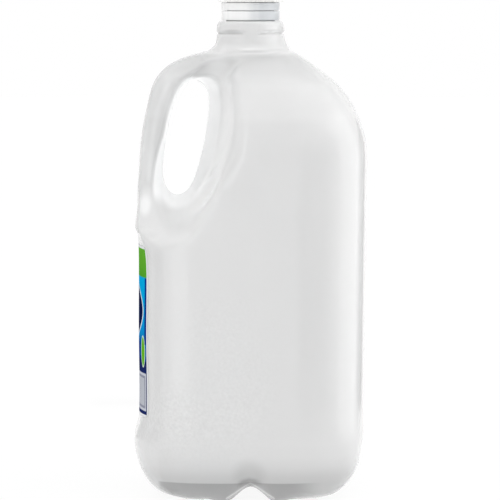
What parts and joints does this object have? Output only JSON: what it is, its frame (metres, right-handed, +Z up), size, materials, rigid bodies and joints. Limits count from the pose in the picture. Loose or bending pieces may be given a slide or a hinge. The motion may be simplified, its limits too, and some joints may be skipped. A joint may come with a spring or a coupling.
{
  "type": "water jug",
  "caption": "Translucent plastic water jug with a hollow handle moulded into its shoulder, a recessed label panel, a notched base and a screw cap, filled with water to the foot of the neck.",
  "frame": {"origin": "centre of the footprint, on the ground", "axes": "+Z up, -X towards the handle and the label, -Y towards the front face, which is the face in the picture"},
  "size_m": [0.1408, 0.1474, 0.311],
  "materials": {
    "jug_plastic": "translucent, softly glossy",
    "water": "clear",
    "label_film": "satin",
    "band_plastic": "translucent, satin",
    "cap_plastic": "satin"
  },
  "bodies": {
    "root": {"jug": "jug_plastic", "water": "water", "label": "label_film", "collar_band": "band_plastic", "tamper_band": "band_plastic", "cap": "cap_plastic"}
  },
  "joints": []
}
